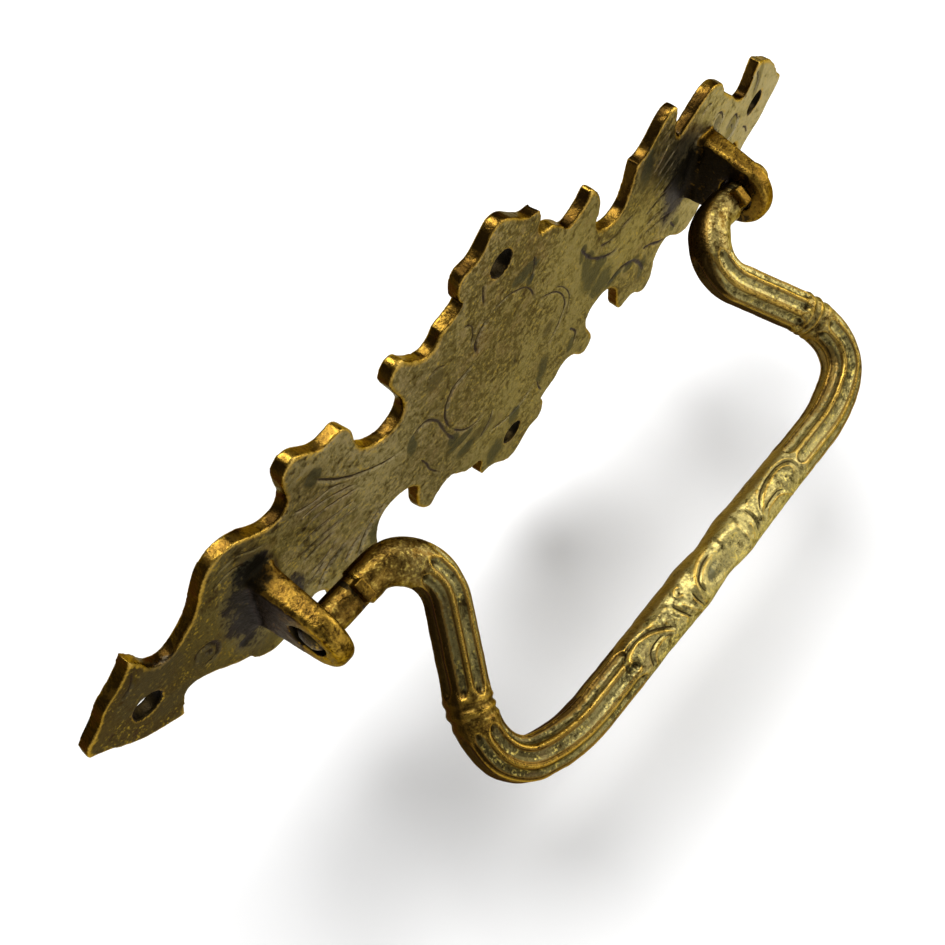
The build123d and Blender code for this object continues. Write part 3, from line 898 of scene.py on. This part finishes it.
def sweepBail(material):
    half, marks = traceHalf()
    u = np.r_[0, np.cumsum(np.linalg.norm(np.diff(half, axis=0), axis=1))]
    full = np.r_[half[::-1] * [-1, 1], half[1:]]
    radius = rodRadius(np.r_[u[::-1], u[1:]], marks)
    origin, along, up, _ = hangingFrame()
    places = origin + full[:, :1] * along + full[:, 1:] * up
    curve = bpy.data.curves.new("bailLine", "CURVE")
    curve.dimensions = "3D"
    spline = curve.splines.new("POLY")
    spline.points.add(len(places) - 1)
    for point, where, size in zip(spline.points, places, radius):
        point.co = (*(where * mm), 1)
        point.radius = size * mm
    line = newObject("bailLine", curve)
    collarIn = marks["leg"] - bail["collar"]
    bendTop = marks["pin"] - bail["bend"] * math.radians(bail["fluteTurn"])
    tree = fluteTree(
        "flutedRod",
        stretches=((bail["gripPlain"], collarIn - bail["fluteGap"]),
                   (marks["leg"] + bail["fluteGap"], bendTop)),
        rings=[(collarIn + spot, width, height) for spot, width, height in bail["rings"]])
    sweep = line.modifiers.new("flutes", "NODES")
    sweep.node_group = tree
    setInputs(sweep, {
        "Flute Depth": bail["fluteDepth"] * mm, "Flutes": float(bail["flutes"]),
        "Land": bail["land"], "Tip Length": bail["tipLength"] * mm,
        "Ring Height": bail["ringHeight"] * mm, "Sides": bail["sides"], "Material": material})
    done = bakeMesh(line)
    bpy.data.objects.remove(line)
    done.name = "flutedBail"
    return newObject("flutedBail", done)


def carveBail(thing):
    # relief on the grip, raised and cut along the rod's own skin
    mesh = thing.data
    points = getPoints(mesh)
    centres = readAttribute(mesh, "centre", 3) / mm
    flute = readAttribute(mesh, "flute")
    origin, along, up, out = hangingFrame()
    away = points - centres
    away /= np.maximum(np.linalg.norm(away, axis=1), 1e-6)[:, None]
    x = (points - origin) @ along
    angle = np.arctan2(-(away @ up), away @ out) - math.radians(bail["reliefTilt"])
    rise = -angle * (bail["rod"] + bail["swell"])
    low = (centres - origin) @ up
    onGrip = low < -bail["drop"] + 0.01
    flat = np.stack([x, rise], 1)
    height, cut, raised = (np.zeros(len(points)) for _ in range(3))
    height[onGrip], cut[onGrip] = carveLines(flat[onGrip], bail["cuts"])
    for near, width, tall, distance, _, share in lineDistances(flat, bail["ridges"]):
        taper = smooth(-0.02, 0.12, share) * smooth(1.02, 0.86, share)
        ridge = tall * np.exp(-(distance / (width * bail["ridgeShare"])) ** 2) * taper
        raised[near] = np.maximum(raised[near], ridge)
    height += raised * onGrip
    dishX, dishRise, halfWide, halfHigh, deep = bail["dish"]
    inDish = 1 - np.sqrt(((x - dishX) / halfWide) ** 2 + ((rise - dishRise) / halfHigh) ** 2)
    height -= deep * smooth(0.0, 0.55, inDish) * onGrip
    cast = castRipple(points, bail["castWaves"]) - bail["sunk"]
    setPoints(mesh, points + away * (height + cast)[:, None])
    writeAttribute(mesh, "cut", cut)
    writeAttribute(mesh, "bluePatch", smooth(0.1, 0.6, inDish) * onGrip * 0.5)
    # painted shadow in the groove between sleeve and pin, and painted shade on the pin inside the
    # left ear
    outer = np.abs(x) - (plate["earFace"] - bail["neck"] + bail["sleeveReach"])
    groove = smooth(0.9, 1.2, outer) * smooth(1.8, 1.5, outer) * (low > -0.1)
    shadeInEar = smooth(*bail["shadeInEar"], x)
    writeAttribute(mesh, "blackPatch", np.maximum(groove * 0.8, shadeInEar))
    dull = 0.55 + 0.5 * flute + 0.2 * onGrip - 0.15 * smooth(30, 45, -x)
    writeAttribute(mesh, "dull", np.clip(dull, 0, 1))
    # painted shade on the flute sides beside the ridges, and on the side turned away from the
    # light, less of it on the grip and on the lower right corner
    flankShade = np.exp(-((flute - 0.30) / 0.20) ** 2) * (flute > 0.02)
    shadeAwayFromLight = smooth(0.0, 0.55, away @ np.array(bail["awayFromLight"])) * (1.35 - 0.65 * onGrip)
    shadeAwayFromLight = shadeAwayFromLight * (1 - 0.65 * smooth(12, 36, x) * smooth(-14, -28, low))
    nearLeg = smooth(30, 40, -x)
    writeAttribute(mesh, "shade", np.clip((0.6 + 0.45 * nearLeg) * flankShade + shadeAwayFromLight, 0, 1.3))
    writeAttribute(mesh, "toneSheenAndShade", np.interp(x, *bail["toneSheenAndShade"]))


def addTabs(thing):
    # the stop beside each ear: a small block with worn corners
    origin, along, up, out = hangingFrame()
    long, deep, tall = bail["tab"]
    work = bmesh.new()
    work.from_mesh(thing.data)
    inner = plate["earFace"] - bail["neck"] + bail["tabGap"]
    for way in (-1, 1):
        turn = Matrix((along, up, out)).transposed().to_4x4()
        middle = origin + along * way * (inner + long / 2) + out * (tall / 2)
        place = Matrix.Translation(Vector(middle) * mm) @ turn
        size = Matrix.Diagonal(Vector((long, deep, tall)) * mm).to_4x4()
        made = bmesh.ops.create_cube(work, size=1.0, matrix=place @ size)
        edges = list({e for v in made["verts"] for e in v.link_edges})
        bmesh.ops.bevel(work, geom=edges, offset=bail["tabEdge"] * mm, segments=4, profile=0.6,
                        affect="EDGES")
        for name, value in bail["tabMarks"]:
            layer = work.verts.layers.float[name]
            for face in {f for e in made["verts"] if e.is_valid for f in e.link_faces}:
                for corner in face.verts:
                    corner[layer] = value
    for face in work.faces:
        face.smooth = True
    work.to_mesh(thing.data)
    work.free()


# Camera, light and floor

view = {
    "lens": 44.535,  # fitted to the photo, as are the place and the turn
    "place": (-80.436, -58.30, 133.979),
    "right": (0.63295, -0.77380, 0.02464),
    "up": (0.65995, 0.55591, 0.50540),
    "ambient": 0.22,
    # lamps: name, place in metres, size, power
    "lamps": (("softboxAbove", (0.04, 0.26, 0.55), 0.45, 4.2),
              ("softboxRight", (0.50, -0.20, 0.28), 0.45, 2.0),
              ("softboxFront", (0.10, -0.60, 0.20), 0.35, 0.6)),
    "floorDrop": 46.0,
    "floorSize": 4.0,  # half its length, in metres
    "floorGrey": 0.80,  # the shade that lights the object from below
    "floorEnd": (0.25, 0.45),  # where it runs out into the backdrop, in metres
}


def addCamera():
    camera = newObject("camera", bpy.data.cameras.new("camera"))
    camera.data.lens = view["lens"]
    camera.data.sensor_width = 36
    camera.data.clip_start = 0.005
    right, up = Vector(view["right"]), Vector(view["up"])
    turn = Matrix((right, up, right.cross(up))).transposed().to_4x4()
    camera.matrix_world = Matrix.Translation(Vector(view["place"]) * mm) @ turn
    scene.camera = camera


def addLamp(name, place, size, power):
    lamp = newObject(name, bpy.data.lights.new(name, "AREA"))
    lamp.data.shape = "DISK"
    lamp.data.size = size
    lamp.data.energy = power
    lamp.location = place
    lamp.rotation_euler = (-Vector(place)).to_track_quat("-Z", "Y").to_euler()


def addStudio():
    scene.view_settings.view_transform = "Standard"
    world = bpy.data.worlds.new("studio")
    scene.world = world
    world.use_nodes = True
    # the camera sees a pale backdrop, and the object is lit by a dim one
    s = Tree(world.node_tree)
    seen = s.node("ShaderNodeLightPath", output="Is Camera Ray")
    dim = s.node("ShaderNodeBackground", {}, {"Color": (*[view["ambient"]] * 3, 1)})
    pale = s.node("ShaderNodeBackground", {}, {"Color": (1, 1, 1, 1)})
    either = s.node("ShaderNodeMixShader", {}, {0: seen, 1: dim, 2: pale})
    s.node("ShaderNodeOutputWorld", {}, {"Surface": either})
    for lamp in view["lamps"]:
        addLamp(*lamp)


def addFloor():
    size, low = view["floorSize"], -view["floorDrop"] * mm
    mesh = bpy.data.meshes.new("floor")
    corners = ((-size, -size), (size, -size), (size, size), (-size, size))
    mesh.from_pydata([(*corner, low) for corner in corners], [], [(0, 1, 2, 3)])
    floor = newObject("floor", mesh)
    s = Shader("paleFloor")
    seen = s.node("ShaderNodeLightPath", output="Is Camera Ray")
    mirrored = s.node("ShaderNodeLightPath", output="Is Glossy Ray")
    paper = s.node("ShaderNodeBsdfDiffuse", {}, {"Color": (*[view["floorGrey"]] * 3, 1)})
    bright = s.node("ShaderNodeBsdfDiffuse", {}, {"Color": (1, 1, 1, 1)})
    white = seen.math("MAXIMUM", mirrored)
    near = s.node("ShaderNodeMixShader", {}, {0: white, 1: paper, 2: bright})
    # far from the object the camera sees the floor run out into the backdrop
    end = s.objectPlace().vector("LENGTH", output="Value").step(*view["floorEnd"]) * seen
    glow = s.node("ShaderNodeEmission", {}, {"Color": (1, 1, 1, 1)})
    whole = s.node("ShaderNodeMixShader", {}, {0: end, 1: near, 2: glow})
    s.node("ShaderNodeOutputMaterial", {}, {"Surface": whole})
    floor.data.materials.append(s.material)


addCamera()
addStudio()
addFloor()
print("studio ready")

backplate = castPlate()
splitNear(backplate, plate["lines"])
carvePlate(backplate)
tintPlate(backplate)
markRelief(backplate.data, 4, 30)
thinBack(backplate)
backplate.data.materials.clear()
backplate.data.materials.append(castBrass("plateBrass", **plate["finish"]))
print("backplate done", len(backplate.data.polygons))

handle = sweepBail(castBrass("bailBrass", **bail["finish"]))
carveBail(handle)
markRelief(handle.data, 3, 16)
addTabs(handle)
print("bail done", len(handle.data.polygons))

for piece, node, body, slot in (
        (backplate, "backplate", "plate", "plate_brass"),
        (handle, "bail", "bail", "bail_brass")):
    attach(piece, body)
    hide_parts(node)
